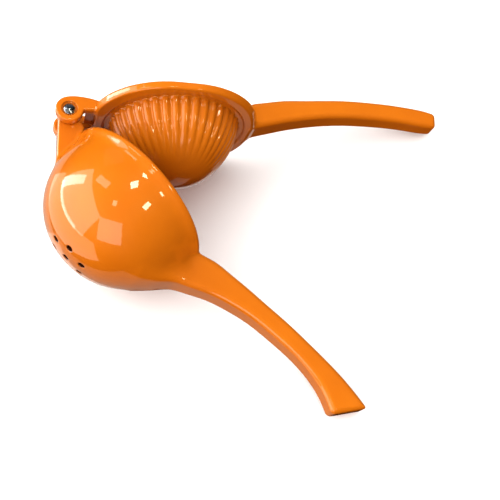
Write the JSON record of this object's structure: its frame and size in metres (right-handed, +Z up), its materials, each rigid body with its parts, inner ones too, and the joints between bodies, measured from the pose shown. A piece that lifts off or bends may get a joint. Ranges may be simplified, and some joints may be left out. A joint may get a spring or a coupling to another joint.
{
  "type": "hinged citrus squeezer",
  "caption": "Hand squeezer for citrus halves: a perforated bowl arm and a fluted pressing arm pivot on one steel pin at their ends.",
  "frame": {"origin": "middle of the bounding box's bottom face, on the surface that the squeezer lies on", "axes": "+Z up, +X along the pressing arm from the hinge to its handle tip, +Y away from the bowl arm"},
  "size_m": [0.2428, 0.1974, 0.0956],
  "materials": {
    "bowl_enamel": "gloss enamel over cast aluminium",
    "press_enamel": "gloss enamel over cast aluminium",
    "pin_steel": "polished"
  },
  "bodies": {
    "press_side": {"press_arm": "press_enamel", "hinge_pin": "pin_steel"},
    "bowl_side": {"bowl_arm": "bowl_enamel"}
  },
  "joints": [
    {"name": "hinge", "type": "hinge", "parent": "press_side", "child": "bowl_side", "pos_m": [-0.10708, 0.06977, 0.06213], "axis": [-0.236, 0.1078, -0.9658], "range_deg": [-47.2, 132.8]}
  ]
}
